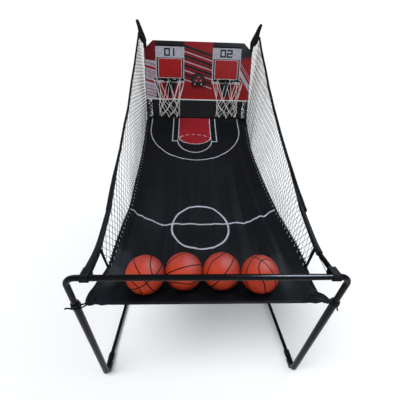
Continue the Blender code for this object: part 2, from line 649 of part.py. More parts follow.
def build_balls():
    """Four hollow balls in a row in the trough, each with a valve hole on top."""
    start = math.asin(VALVE_RADIUS / BALL_RADIUS)
    for index, (x, depth, z) in enumerate(BALL_SEATS):
        centre = place(BALL_ROW_X + x, depth, z)
        profile = []
        for band in range(BALL_BANDS + 1):
            angle = start + (math.pi - start) * band / BALL_BANDS
            radius = 0.0 if band == BALL_BANDS else BALL_RADIUS * math.sin(angle)
            profile.append((radius, BALL_RADIUS * math.cos(angle)))
        shrink = (BALL_RADIUS - BALL_WALL) / BALL_RADIUS
        inside = [(radius * shrink, height * shrink) for radius, height in reversed(profile)]
        ball = add_lathe("ball_" + str(index + 1), profile + inside[1:-1] + [(VALVE_RADIUS, inside[-1][1])],
                         centre, ROD_SEGMENTS, BALL_RUBBER, closed=True)
        set_origin(ball, centre)


def build_machine():
    """Build every piece."""
    clear_scene()
    build_front_rail()
    build_cross_tubes()
    build_board()
    build_score_box()
    build_battery_box()
    build_ramp()
    build_balls()
    builders = (build_leg, build_floor_tube, build_net_arm, build_rear_joint, build_fold_bolt, build_base,
                build_upright, build_rim, build_hoop_net, build_sensor, build_side_net, build_gusset)
    for label, side in SIDES:
        for build in builders:
            build(label, side)


build_machine()
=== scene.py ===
"""Looks for the two-player arcade basketball machine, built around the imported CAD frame.

Metres, +Z up, players at -Y. Lengthwise positions are distances behind the front rail's axis.
"""

import math
import random

import bmesh
import bpy
from mathutils import Matrix, Vector, noise


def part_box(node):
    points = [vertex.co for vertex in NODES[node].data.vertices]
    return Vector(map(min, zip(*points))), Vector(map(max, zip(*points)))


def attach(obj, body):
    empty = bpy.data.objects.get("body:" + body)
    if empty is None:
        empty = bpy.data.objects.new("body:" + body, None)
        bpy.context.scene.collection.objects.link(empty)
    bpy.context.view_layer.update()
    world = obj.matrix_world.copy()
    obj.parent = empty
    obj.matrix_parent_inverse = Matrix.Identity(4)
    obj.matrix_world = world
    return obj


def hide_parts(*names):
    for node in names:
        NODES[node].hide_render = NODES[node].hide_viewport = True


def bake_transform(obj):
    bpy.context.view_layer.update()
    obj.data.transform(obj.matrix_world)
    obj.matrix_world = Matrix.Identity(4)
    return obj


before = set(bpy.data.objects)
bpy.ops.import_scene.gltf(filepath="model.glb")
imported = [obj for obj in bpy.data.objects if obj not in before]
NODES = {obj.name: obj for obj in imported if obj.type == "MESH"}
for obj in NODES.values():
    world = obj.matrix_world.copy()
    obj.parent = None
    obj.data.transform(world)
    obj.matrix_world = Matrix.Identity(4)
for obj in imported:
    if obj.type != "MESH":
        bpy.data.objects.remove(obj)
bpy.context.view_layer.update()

# Tubes and the rail's place, from the CAD
TUBE_RADIUS = 0.0125
RAIL_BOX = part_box("front_rail")
RAIL_Y = RAIL_BOX[0].y + TUBE_RADIUS
LEG_X = RAIL_BOX[1].x - TUBE_RADIUS
BALL_RADIUS = 0.0855
HOOP_X = 0.261
HOOP_DEPTH = 1.82
HOOP_Z = 1.61
RIM_RADIUS = 0.132
RIM_ROD = 0.006
BOARD_DEPTH = 1.97

UP = Vector((0.0, 0.0, 1.0))
EAST = Vector((1.0, 0.0, 0.0))
REAR = "rear_frame"
FRONT = "front_frame"
SIDES = (("left", -1.0), ("right", 1.0))

# Colours, linear
BLACK = (0.0036, 0.0036, 0.0042)
CHARCOAL = (0.0058, 0.0060, 0.0072)
NET_BLACK = (0.022, 0.022, 0.024)
PRINT_GREY = (0.36, 0.355, 0.41)
LINE_GREY = (0.42, 0.44, 0.50)
PRINT_RED = (0.235, 0.006, 0.007)
BRIGHT_RED = (0.30, 0.008, 0.008)
BALL_ORANGE = (0.40, 0.036, 0.012)
CORD_WHITE = (0.72, 0.71, 0.69)


def at(x, depth, z):
    """A point from its width position, distance behind the front rail, and height."""
    return Vector((x, RAIL_Y + depth, z))


def mix(low, high, share):
    """A value between two others."""
    return low + (high - low) * share


def smooth(share):
    """An eased share that starts and ends flat."""
    share = min(1.0, max(0.0, share))
    return share * share * (3.0 - 2.0 * share)


def along_profile(profile, position):
    """Read a (position, value) profile by straight lines between its points."""
    if position <= profile[0][0]:
        return profile[0][1]
    for (start, low), (end, high) in zip(profile, profile[1:]):
        if position <= end:
            return mix(low, high, (position - start) / (end - start))
    return profile[-1][1]


def neighbours(points):
    """Each stretch of a path as four points: the one before it, its two ends, and the one after it."""
    last = len(points) - 1
    for index in range(last):
        yield points[max(0, index - 1)], points[index], points[index + 1], points[min(last, index + 2)]


def spline(before, start, end, after, t):
    """A smooth value or point between start and end."""
    return 0.5 * (2 * start + (end - before) * t + (2 * before - 5 * start + 4 * end - after) * t * t
                  + (3 * start - before - 3 * end + after) * t ** 3)


def link(name, data):
    """A new object in the scene."""
    piece = bpy.data.objects.new(name, data)
    bpy.context.scene.collection.objects.link(piece)
    return piece


# ---------------------------------------------------------------- materials

class Wire:
    """A number inside a material, so that node maths reads as ordinary maths."""

    def __init__(self, tree, socket):
        self.tree = tree
        self.socket = socket

    def _math(self, operation, *others):
        node = self.tree.nodes.new("ShaderNodeMath")
        node.operation = operation
        for slot, value in zip(node.inputs, (self, *others)):
            if isinstance(value, Wire):
                self.tree.links.new(value.socket, slot)
            else:
                slot.default_value = value
        return Wire(self.tree, node.outputs[0])

    def __add__(self, other):
        return self._math("ADD", other)

    def __sub__(self, other):
        return self._math("SUBTRACT", other)

    def __mul__(self, other):
        return self._math("MULTIPLY", other)

    def __abs__(self):
        return self._math("ABSOLUTE")

    def sine(self):
        return self._math("SINE")

    def root(self):
        return self._math("SQRT")

    def below(self, limit):
        return self._math("LESS_THAN", limit)

    def above(self, limit):
        return self._math("GREATER_THAN", limit)

    def either(self, other):
        return self._math("MAXIMUM", other)

    def both(self, other):
        return self._math("MULTIPLY", other)


class Surface:
    """A Principled material being built."""

    def __init__(self, name, colour, roughness, metallic=0.0, specular=0.5):
        self.material = bpy.data.materials.new(name)
        self.material.use_nodes = True
        self.tree = self.material.node_tree
        self.shader = self.tree.nodes["Principled BSDF"]
        self.set("Base Color", (*colour, 1.0))
        self.set("Roughness", roughness)
        self.set("Metallic", metallic)
        self.set("Specular IOR Level", specular)
        self.heights = []

    def set(self, socket, value):
        self.shader.inputs[socket].default_value = value

    def coordinates(self, kind="Object"):
        return self.tree.nodes.new("ShaderNodeTexCoord").outputs[kind]

    def flat_position(self):
        """The two flat coordinates of printed cloth or board, kept in a UV map, in metres."""
        layer = self.tree.nodes.new("ShaderNodeUVMap")
        layer.uv_map = "flat"
        split = self.tree.nodes.new("ShaderNodeSeparateXYZ")
        self.tree.links.new(layer.outputs[0], split.inputs[0])
        return Wire(self.tree, split.outputs[0]), Wire(self.tree, split.outputs[1])

    def noise(self, scale, detail=3.0, kind="Object", stretch=None, roughness=0.5):
        texture = self.tree.nodes.new("ShaderNodeTexNoise")
        texture.inputs["Scale"].default_value = scale
        texture.inputs["Detail"].default_value = detail
        texture.inputs["Roughness"].default_value = roughness
        source = self.coordinates(kind)
        if stretch:
            mapping = self.tree.nodes.new("ShaderNodeMapping")
            mapping.inputs["Scale"].default_value = stretch
            self.tree.links.new(source, mapping.inputs["Vector"])
            source = mapping.outputs[0]
        self.tree.links.new(source, texture.inputs["Vector"])
        return texture.outputs["Fac"]

    def cells(self, scale):
        texture = self.tree.nodes.new("ShaderNodeTexVoronoi")
        texture.inputs["Scale"].default_value = scale
        self.tree.links.new(self.coordinates(), texture.inputs["Vector"])
        return texture.outputs["Distance"]

    def weave(self, threads_per_metre):
        """Crossed sine ridges, as in a plain weave, in the flat coordinates."""
        across, along = self.flat_position()
        turns = math.tau * threads_per_metre
        return ((across * turns).sine() * (along * turns).sine()).socket

    def bump(self, height, distance, strength=1.0):
        node = self.tree.nodes.new("ShaderNodeBump")
        node.inputs["Distance"].default_value = distance
        node.inputs["Strength"].default_value = strength
        self.tree.links.new(height, node.inputs["Height"])
        if self.heights:
            self.tree.links.new(self.heights[-1].outputs[0], node.inputs["Normal"])
        self.heights.append(node)
        self.tree.links.new(node.outputs[0], self.shader.inputs["Normal"])

    def ramp(self, source, stops):
        """A colour ramp from a value; stops are (position, colour)."""
        node = self.tree.nodes.new("ShaderNodeValToRGB")
        while len(node.color_ramp.elements) < len(stops):
            node.color_ramp.elements.new(0.5)
        for element, (position, colour) in zip(node.color_ramp.elements, stops):
            element.position = position
            element.color = (*colour, 1.0)
        self.tree.links.new(source, node.inputs[0])
        return node.outputs[0]

    def grey_range(self, source, low, high):
        node = self.tree.nodes.new("ShaderNodeMapRange")
        node.inputs["To Min"].default_value = low
        node.inputs["To Max"].default_value = high
        self.tree.links.new(source, node.inputs["Value"])
        return node.outputs[0]

    def blend(self, mask, under, over):
        """Lay one colour over another where a mask is on; a colour is a socket or a value."""
        node = self.tree.nodes.new("ShaderNodeMix")
        node.data_type = "RGBA"
        self.tree.links.new(mask.socket if isinstance(mask, Wire) else mask, node.inputs[0])
        for slot, value in ((node.inputs[6], under), (node.inputs[7], over)):
            if isinstance(value, tuple):
                slot.default_value = (*value, 1.0)
            else:
                self.tree.links.new(value, slot)
        return node.outputs[2]

    def use(self, socket, source):
        self.tree.links.new(source, self.shader.inputs[socket])

    def tones(self, scale, detail, *stops):
        """Base colour that drifts between a few tones."""
        self.use("Base Color", self.ramp(self.noise(scale, detail), stops))

    def gloss(self, scale, low, high):
        """Roughness that drifts between two values."""
        self.use("Roughness", self.grey_range(self.noise(scale), low, high))


def shade(colour, share):
    """A colour made darker."""
    return tuple(channel * share for channel in colour)


def painted_tube():
    """Black powder coat: fine orange peel, slight gloss changes."""
    surface = Surface("black_powder_coat", BLACK, 0.3, specular=0.08)
    surface.gloss(18.0, 0.15, 0.24)
    surface.tones(7.0, 5.0, (0.35, BLACK), (0.75, (0.0062, 0.0062, 0.0075)))
    surface.bump(surface.noise(900.0, 2.0), 0.0003, 0.25)
    return surface.material


def moulded_plastic():
    """Black moulded plastic with a fine grain."""
    surface = Surface("black_moulded", (0.005, 0.005, 0.0055), 0.5, specular=0.07)
    surface.gloss(40.0, 0.42, 0.62)
    surface.bump(surface.cells(1500.0), 0.0002, 0.4)
    return surface.material


def pad_rubber():
    """Dull black rubber."""
    surface = Surface("foot_rubber", (0.018, 0.018, 0.018), 0.85)
    surface.bump(surface.noise(300.0), 0.0005, 0.5)
    return surface.material


def zinc_steel():
    """Zinc-plated bolt steel."""
    surface = Surface("zinc_plate", (0.52, 0.53, 0.55), 0.3, 1.0)
    surface.gloss(120.0, 0.22, 0.45)
    return surface.material


def woven(name, colour, threads=700.0, roughness=0.62):
    """Black woven nylon: a plain weave, soft sheen, and slightly uneven dye."""
    surface = Surface(name, colour, roughness, specular=0.07)
    surface.set("Sheen Weight", 0.012)
    surface.set("Sheen Roughness", 0.4)
    surface.set("Sheen Tint", (0.45, 0.6, 1.0, 1.0))
    surface.tones(5.0, 6.0, (0.3, shade(colour, 0.6)), (0.7, colour))
    surface.bump(surface.weave(threads), 0.0002, 0.35)
    return surface


def plain_weave(name, colour, scale=900.0, roughness=0.7):
    """A woven look for small sewn pieces that have no flat coordinates."""
    surface = Surface(name, colour, roughness, specular=0.08)
    surface.set("Sheen Weight", 0.01)
    surface.tones(30.0, 5.0, (0.3, shade(colour, 0.6)), (0.7, colour))
    surface.bump(surface.noise(scale, 2.0, stretch=(1.0, 1.0, 3.0)), 0.0006, 0.6)
    return surface.material


def cord_material(name, colour):
    """Twisted cord: fine slanted ridges and small tone changes."""
    surface = Surface(name, colour, 0.75, specular=0.15)
    surface.tones(90.0, 3.0, (0.3, shade(colour, 0.72)), (0.65, colour))
    surface.bump(surface.noise(1400.0, 2.0, stretch=(1.0, 1.0, 0.35)), 0.0006, 0.7)
    return surface.material


def ball_rubber():
    """Pebbled orange rubber, a little duller on its worn high spots."""
    surface = Surface("ball_rubber", BALL_ORANGE, 0.55, specular=0.18)
    surface.tones(9.0, 5.0, (0.3, (0.34, 0.028, 0.010)), (0.55, BALL_ORANGE), (0.8, (0.46, 0.050, 0.018)))
    surface.gloss(25.0, 0.46, 0.64)
    surface.bump(surface.cells(430.0), 0.0011, 0.6)
    return surface.material


def seam_rubber():
    """The ball's sunken black seams."""
    surface = Surface("ball_seams", (0.004, 0.003, 0.003), 0.7, specular=0.1)
    surface.bump(surface.noise(400.0), 0.0004, 0.4)
    return surface.material


def printed(name, colour, roughness=0.38):
    """Ink on the board's glossy printed skin, with slight tone changes."""
    surface = Surface(name, colour, roughness, specular=0.12)
    surface.tones(45.0, 6.0, (0.35, shade(colour, 0.78)), (0.65, colour))
    surface.gloss(60.0, roughness - 0.05, roughness + 0.12)
    return surface.material


def lit_digit():
    """A lit red LED segment."""
    surface = Surface("led_segment", (0.7, 0.02, 0.04), 0.4)
    surface.set("Emission Color", (1.0, 0.05, 0.10, 1.0))
    surface.set("Emission Strength", 1.1)
    return surface.material


def white_plastic():
    """Slightly yellowed white edge plastic."""
    surface = Surface("white_edge", (0.62, 0.62, 0.60), 0.45)
    surface.tones(25.0, 4.0, (0.3, (0.50, 0.50, 0.48)), (0.6, (0.66, 0.66, 0.64)))
    return surface.material


def board_back():
    """Bare fibreboard on the back and edges of the board."""
    surface = Surface("fibreboard", (0.20, 0.13, 0.08), 0.8)
    surface.tones(160.0, 6.0, (0.35, (0.13, 0.08, 0.045)), (0.65, (0.26, 0.17, 0.10)))
    surface.bump(surface.noise(500.0), 0.0004, 0.5)
    return surface.material


def tinted_lens():
    """The dark face of the score display."""
    surface = Surface("display_face", (0.012, 0.005, 0.006), 0.22)
    surface.gloss(50.0, 0.16, 0.3)
    return surface.material


COAT = painted_tube()
MOULDED = moulded_plastic()
RUBBER = pad_rubber()
ZINC = zinc_steel()
WHITE_EDGE = white_plastic()
WEBBING = plain_weave("black_webbing", CHARCOAL)
NET_CORD = cord_material("net_cord", NET_BLACK)
LACE_CORD = cord_material("lacing_cord", (0.02, 0.02, 0.022))
HOOP_CORD = cord_material("hoop_cord", CORD_WHITE)
LIGHT_LACE = cord_material("light_lace", (0.45, 0.46, 0.48))


def finish_cad_nodes():
    """Materials for the CAD nodes that stay visible. The paired ones end in _left and _right."""
    paired = {
        COAT: ("leg", "floor_tube", "net_arm", "base_arm", "upright", "rim", "rim_plate"),
        MOULDED: ("leg_collar", "foot_sleeve", "rail_connector", "rear_joint", "sensor_housing", "paddle"),
        RUBBER: ("front_pad", "base_pad", "rear_pad"),
        ZINC: ("fold_bolt",),
    }
    single = {
        COAT: ("front_rail", "base_cross_tube", "board_bar_lower", "board_bar_upper"),
        MOULDED: ("score_housing", "battery_box", "battery_door"),
        WHITE_EDGE: ("board_trim", "button_power", "button_mode"),
        board_back(): ("backboard",),
        tinted_lens(): ("display",),
    }
    finishes = [(name, material) for material, names in single.items() for name in names]
    for material, names in paired.items():
        finishes += [(name + "_" + label, material) for name in names for label, _ in SIDES]
    for name, material in finishes:
        NODES[name].data.materials.clear()
        NODES[name].data.materials.append(material)


# ---------------------------------------------------------------- mesh helpers

def grid_faces(columns, rows):
    """Quads over a grid of points that is laid out row by row."""
    width = columns + 1
    corners = [row * width + column for row in range(rows) for column in range(columns)]
    return [(corner, corner + 1, corner + width + 1, corner + width) for corner in corners]


def tube_faces(first, rings, sides):
    """Quads round a run of rings of points, and a cap on each end."""
    faces = []
    for ring in range(rings - 1):
        low = first + ring * sides
        for step in range(sides):
            following = (step + 1) % sides
            faces.append((low + step, low + following, low + sides + following, low + sides + step))
    faces.append(tuple(reversed(range(first, first + sides))))
    faces.append(tuple(range(first + (rings - 1) * sides, first + rings * sides)))
    return faces


def add_mesh(name, points, faces, materials, body, flat=None, smooth_faces=True):
    """A mesh that rides on a body. flat gives each point its place on the uncut cloth."""
    mesh = bpy.data.meshes.new(name)
    mesh.from_pydata([tuple(point) for point in points], [], faces)
    if flat:
        layer = mesh.uv_layers.new(name="flat")
        for loop in mesh.loops:
            layer.data[loop.index].uv = flat[loop.vertex_index]
    for material in materials:
        mesh.materials.append(material)
    mesh.polygons.foreach_set("use_smooth", [smooth_faces] * len(mesh.polygons))
    piece = link(name, mesh)
    if body:
        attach(piece, body)
    return piece


class Strands:
    """Collects many round cords into one mesh."""

    def __init__(self):
        self.points = []
        self.faces = []

    def add(self, path, radius, sides=6, flatten=1.0, normal=None, taper=1.0):
        """A cord along a path; flatten below 1 with a normal makes a flat strap, taper thins the far end."""
        first = len(self.points)
        count = len(path)
        side = None
        for index, point in enumerate(path):
            before = path[max(0, index - 1)]
            after = path[min(count - 1, index + 1)]
            direction = (after - before).normalized()
            if normal is not None:
                side = direction.cross(normal).normalized()
            elif side is None:
                seed = UP if abs(direction.z) < 0.9 else EAST
                side = direction.cross(seed).normalized()
            else:
                side = (side - direction * side.dot(direction)).normalized()
            other = direction.cross(side).normalized()
            for step in range(sides):
                angle = math.tau * step / sides
                spread = side * math.cos(angle) + other * (math.sin(angle) * flatten)
                self.points.append(point + spread * (radius * mix(1.0, taper, index / (count - 1.0))))
        self.faces += tube_faces(first, count, sides)

    def build(self, name, material, body):
        return add_mesh(name, self.points, self.faces, [material], body)


def ring_path(centre, radius, axis_a, axis_b, steps=24):
    """A closed loop of points around a centre."""
    angles = [math.tau * step / steps for step in range(steps + 1)]
    return [centre + axis_a * (radius * math.cos(a)) + axis_b * (radius * math.sin(a)) for a in angles]


# ---------------------------------------------------------------- ramp

RAMP_ROWS = 190
RAMP_COLUMNS = 132
CLOTH_THICKNESS = 0.0012
RAMP_CENTRE = ((0.045, 0.729), (0.10, 0.712), (0.165, 0.7035), (0.28, 0.706), (0.54, 0.722), (0.72, 0.745),
               (1.05, 0.845), (1.30, 0.945), (1.62, 1.095), (1.80, 1.18), (1.955, 1.275), (1.972, 1.43))
# Half widths to each side; the front of the net frame leans a little to +X
LEFT_WIDTH = ((0.045, 0.501), (0.07, 0.502), (0.10, 0.499), (0.157, 0.487), (0.20, 0.469), (0.25, 0.454),
              (0.36, 0.452), (0.58, 0.456), (0.73, 0.448), (1.04, 0.460), (1.46, 0.470), (1.90, 0.487),
              (1.952, 0.480), (1.958, 0.414), (1.972, 0.41))
RIGHT_WIDTH = ((0.045, 0.523), (0.06, 0.501), (0.09, 0.486), (0.145, 0.482), (0.20, 0.486), (0.25, 0.487),
               (0.353, 0.481), (0.57, 0.478), (0.72, 0.470), (1.06, 0.462), (1.50, 0.458), (1.90, 0.482),
               (1.952, 0.478), (1.958, 0.414), (1.972, 0.41))
EDGE_RAISE = ((0.045, 0.0), (0.06, 0.012), (0.10, 0.03), (0.23, 0.066), (0.36, 0.096), (0.73, 0.108),
              (1.05, 0.085), (1.30, 0.05), (1.62, 0.005), (1.972, 0.0))
# Lengthwise folds: where across the cloth, how wide, how high, and how far each one wanders
FOLDS = ((-0.84, 0.030, 0.010, 0.02), (-0.74, 0.060, -0.014, 0.02), (-0.62, 0.030, 0.005, 0.03),
         (-0.56, 0.090, -0.006, 0.03), (-0.45, 0.030, 0.004, -0.03), (-0.93, 0.024, 0.008, 0.02),
         (0.50, 0.110, 0.016, 0.03), (0.60, 0.030, 0.005, 0.05),
         (0.70, 0.035, -0.006, -0.02), (0.79, 0.040, 0.017, 0.02), (0.92, 0.030, 0.008, 0.01),
         (0.20, 0.060, 0.004, 0.03), (-0.15, 0.070, 0.004, -0.04), (-0.33, 0.040, 0.005, 0.03))


def edge_width(side, depth):
    """How far one edge of the ramp is from the machine's middle."""
    return along_profile(LEFT_WIDTH if side < 0.0 else RIGHT_WIDTH, depth)


def ramp_point(across, depth, z):
    """A point of the ramp; across runs from -1 at the left edge to 1 at the right edge."""
    x = across * edge_width(across, depth)
    reach = abs(across)
    step_height = 0.42 * smooth((reach - 0.58) / 0.16) + 0.58 * smooth((reach - 0.80) / 0.22)
    lift = along_profile(EDGE_RAISE, depth) * step_height
    slack = smooth((depth - 0.20) / 0.35) * (1.0 - 0.8 * smooth((depth - 0.85) / 0.55))
    ripples = 0.0
    for centre, width, height, wander in FOLDS:
        place = centre + wander * math.sin(depth * 2.1 + centre * 9.0)
        ripples += height * math.exp(-(((across - place) / width) ** 2))
    small = noise.noise(Vector((across * 5.0, depth * 3.0, 0.0))) * 0.005
    fine = noise.noise(Vector((across * 16.0, depth * 3.0, 7.0))) * 0.0035
    creases = noise.noise(Vector((across * 34.0, depth * 6.0, 3.0))) * 0.0012
    corner = smooth((reach - 0.72) / 0.28) * smooth((0.22 - depth) / 0.17)
    gather = corner * 0.005 * math.sin(across * 190.0 + depth * 40.0)
    waves = slack * (ripples + small) + 0.6 * smooth(depth / 0.3) * (fine + creases)
    return at(x, depth, z + lift + gather + waves)


RESAMPLE_STEPS = 20


def resample(profile, count):
    """Evenly spaced points along a smoothed profile."""
    dense = []
    for ends in neighbours(profile):
        for step in range(RESAMPLE_STEPS):
            dense.append(tuple(spline(*values, step / RESAMPLE_STEPS) for values in zip(*ends)))
    dense.append(profile[-1])
    lengths = [0.0]
    for before, after in zip(dense, dense[1:]):
        lengths.append(lengths[-1] + math.dist(before, after))
    spaced = []
    index = 0
    for step in range(count + 1):
        target = lengths[-1] * step / count
        while index < len(lengths) - 2 and lengths[index + 1] < target:
            index += 1
        share = (target - lengths[index]) / max(1e-9, lengths[index + 1] - lengths[index])
        spaced.append((mix(dense[index][0], dense[index + 1][0], share),
                       mix(dense[index][1], dense[index + 1][1], share), target))
    return spaced


RAMP_LINE = resample(RAMP_CENTRE, RAMP_ROWS)


def court_ink():
    """Ramp cloth printed with a half court: centre circle, lines, arc and red key."""
    surface = woven("ramp_cloth", CHARCOAL, 620.0, 0.5)
    cloth = surface.shader.inputs["Base Color"].links[0].from_socket
    across, along = surface.flat_position()

    def ring(centre_x, centre_along, radius_x, radius_along):
        """How far a place is from an ellipse's middle, as a share of its radius."""
        dx = (across - centre_x) * (1.0 / radius_x)
        dy = (along - centre_along) * (1.0 / radius_along)
        return (dx * dx + dy * dy).root()

    def line(distance, half_width=0.0058):
        """A line of ink where a distance is near zero."""
        return abs(distance).below(half_width)

    marks = line((ring(-0.008, 0.640, 0.178, 0.2135) - 1.0) * 0.19)
    marks = marks.either(line(along - 0.675))
    arc_middle, court_x = 1.86, -0.022
    in_front = along.below(arc_middle)
    arc = line((ring(court_x, arc_middle, 0.414, 0.455) - 1.0) * 0.43, 0.0037).both(in_front)
    sides = line(abs(across - court_x) - 0.414, 0.0037).both(along.above(arc_middle))
    marks = marks.either(arc).either(sides)
    key_x, key_half, throw_line = -0.029, 0.148, 1.665
    key_side = abs(across - key_x)
    behind = along.above(throw_line)
    marks = marks.either(line(key_side - 0.200, 0.0040).both(behind))
    lane_ends = key_side.below(0.204).both(key_side.above(key_half))
    marks = marks.either(line(along - throw_line, 0.0046).both(lane_ends))
    throw = ring(key_x, throw_line + 0.02, 0.154, 0.178)
    marks = marks.either(line((throw - 1.0) * 0.165, 0.0040).both(along.below(throw_line + 0.02)))
    key_end = ring(key_x, throw_line + 0.065, key_half, 0.105)
    inside = key_end.below(1.0).either(along.above(throw_line + 0.065).both(key_side.below(key_half)))
    edge = line((key_end - 1.0) * 0.125, 0.0035).both(along.below(throw_line + 0.065))
    edge = edge.either(line(key_side - key_half, 0.0035).both(along.above(throw_line + 0.065)))
    marks = marks.either(edge)
    back_arc = line((ring(key_x, throw_line + 0.02, key_half, 0.086) - 1.0) * 0.115, 0.0040)
    dashes = (across * 116.0).sine().above(-0.2)
    marks = marks.either(back_arc.both(along.above(throw_line + 0.03)).both(dashes))
    coloured = surface.blend(inside, cloth, (0.22, 0.010, 0.016))
    worn = surface.ramp(surface.noise(30.0, 5.0), [(0.3, (0.30, 0.31, 0.36)), (0.6, LINE_GREY)])
    surface.use("Base Color", surface.blend(marks, coloured, worn))
    return surface.material


def build_ramp():
    """The printed ramp: one sheet from the front hem, through the ball trough, up behind the valance."""
    points, flat = [], []
    for depth, z, distance in RAMP_LINE:
        for column in range(RAMP_COLUMNS + 1):
            across = 2.0 * column / RAMP_COLUMNS - 1.0
            points.append(ramp_point(across, depth, z))
            flat.append((across * edge_width(across, depth), distance))
    faces = grid_faces(RAMP_COLUMNS, RAMP_ROWS)
    underside = woven("ramp_underside", CHARCOAL, 620.0, 0.6).material
    ramp = add_mesh("ramp_cloth", points, faces, [court_ink(), underside], None, flat)
    solid = ramp.modifiers.new("thickness", "SOLIDIFY")
    solid.thickness = CLOTH_THICKNESS
    solid.offset = -1.0
    solid.material_offset = 1
    solid.material_offset_rim = 1
    follow_the_fold(ramp)
    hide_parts("ramp")
    return ramp


# ---------------------------------------------------------------- balls

# How each ball is turned about X, then Y, then Z, in degrees
BALL_TURNS = ((345.0, 210.0, 200.0), (355.0, 40.0, 290.0), (50.0, 145.0, 160.0), (100.0, 340.0, 305.0))
SEAM_RADIUS = 0.0036
SEAM_SINK = 0.0023


def seam_curves():
    """The seams of a ball of radius one: two great circles and two bowed loops."""
    steps = 96
    turns = [math.tau * step / steps for step in range(steps + 1)]
    curves = [[Vector((math.cos(a), math.sin(a), 0.0)) for a in turns],
              [Vector((0.0, math.cos(a), math.sin(a))) for a in turns]]
    for side in (-1.0, 1.0):
        loop = []
        for a in turns:
            polar = math.radians(50.0 + 13.0 * math.cos(2.0 * a))
            loop.append(Vector((side * math.cos(polar), math.sin(polar) * math.cos(a),
                                math.sin(polar) * math.sin(a))))
        curves.append(loop)
    return curves


def build_balls():
    """Four pebbled balls with black seams, each turned its own way."""
    rubber, seam = ball_rubber(), seam_rubber()
    for number, turn in enumerate(BALL_TURNS, start=1):
        node = "ball_" + str(number)
        low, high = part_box(node)
        centre = (low + high) / 2.0
        about_x, about_y, about_z = (Matrix.Rotation(math.radians(angle), 3, axis)
                                     for angle, axis in zip(turn, "XYZ"))
        spin = about_z @ about_y @ about_x
        shape = bmesh.new()
        bmesh.ops.create_uvsphere(shape, u_segments=64, v_segments=40, radius=BALL_RADIUS)
        bmesh.ops.rotate(shape, cent=(0.0, 0.0, 0.0), matrix=spin, verts=shape.verts)
        bmesh.ops.translate(shape, vec=centre, verts=shape.verts)
        name = "ball_skin_" + str(number)
        mesh = bpy.data.meshes.new(name)
        shape.to_mesh(mesh)
        shape.free()
        mesh.materials.append(rubber)
        mesh.polygons.foreach_set("use_smooth", [True] * len(mesh.polygons))
        ball = link(name, mesh)
        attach(ball, node)
        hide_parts(node)
        seams = Strands()
        for curve in seam_curves():
            path = [centre + spin @ point * (BALL_RADIUS - SEAM_SINK) for point in curve]
            seams.add(path, SEAM_RADIUS, 6)
        seams.build("ball_seams_" + str(number), seam, node)


# ---------------------------------------------------------------- hoops

NET_HOOKS = 8
CORD_RADIUS = 0.0022
HOOK_DROP = 0.012
# Knot rows down the net: how far below the rim, and the net's radius there
KNOT_ROWS = ((0.165, 0.098), (0.213, 0.097), (0.262, 0.095))
LOOP_DROP = 0.312
LOOP_RADIUS = 0.092


def curve_through(points, steps=7):
    """A smooth path through a few points."""
    path = []
    for ends in neighbours(points):
        path += [spline(*ends, step / steps) for step in range(steps)]
    path.append(points[-1])
    return path


def build_hoop_net(label, side):
    """A white cord net: long loops over hooks on the rim, rows of knots, and loose loops at the bottom."""
    rng = random.Random(7 if side < 0 else 23)
    centre = at(side * HOOP_X, HOOP_DEPTH, HOOP_Z)
    cords = Strands()
    step = math.tau / NET_HOOKS

    def spot(turn, drop, radius):
        return centre + Vector((radius * math.cos(turn), radius * math.sin(turn), -drop))

    rows = []
    for row, (drop, radius) in enumerate(KNOT_ROWS):
        shift = 0.5 if row % 2 == 0 else 0.0
        rows.append([spot((hook + shift + rng.uniform(-0.16, 0.16)) * step, drop + rng.uniform(-0.010, 0.010),
                          radius + rng.uniform(-0.010, 0.006)) for hook in range(NET_HOOKS)])
    for hook in range(NET_HOOKS):
        turn = hook * step
        apex = spot(turn, HOOK_DROP, RIM_RADIUS - 0.001)
        for way, knot in ((-1.0, rows[0][hook - 1]), (1.0, rows[0][hook])):
            shoulder = spot(turn + way * 0.055, HOOK_DROP + 0.014, RIM_RADIUS - 0.003)
            drift = Vector((rng.uniform(-0.004, 0.004), rng.uniform(-0.004, 0.004), 0.0))
            belly = shoulder.lerp(knot, 0.5) + drift
            cords.add(curve_through([apex, shoulder, belly, knot]), CORD_RADIUS, 6)
        outward = Vector((math.cos(turn), math.sin(turn), 0.0))
        hook_ring = ring_path(centre + outward * RIM_RADIUS, RIM_ROD + 0.0026, outward, UP, 12)
        cords.add(hook_ring, CORD_RADIUS * 0.85, 6)
        cords.add([apex + UP * 0.006, apex - UP * 0.001], CORD_RADIUS, 6)
        for knot in (rows[1][hook], rows[1][(hook + 1) % NET_HOOKS]):
            cords.add([rows[0][hook], rows[0][hook].lerp(knot, 0.5) - outward * 0.001, knot], CORD_RADIUS, 6)
            cords.add([knot, knot.lerp(rows[2][hook], 0.5) - outward * 0.001, rows[2][hook]], CORD_RADIUS, 6)
        left, right = rows[2][hook - 1], rows[2][hook]
        low = spot(turn + rng.uniform(-0.1, 0.1), LOOP_DROP + rng.uniform(-0.008, 0.006), LOOP_RADIUS)
        sides = [left.lerp(low, 0.7) + UP * 0.010, right.lerp(low, 0.7) + UP * 0.010]
        cords.add(curve_through([left, sides[0], low, sides[1], right]), CORD_RADIUS, 6)
        for row in rows:
            knot = row[hook]
            cords.add([knot + UP * 0.0045, knot - UP * 0.0045], CORD_RADIUS * 1.7, 8)
    net = cords.build("hoop_cords_" + label, HOOP_CORD, REAR)
    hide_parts("hoop_net_" + label)


# ---------------------------------------------------------------- side nets

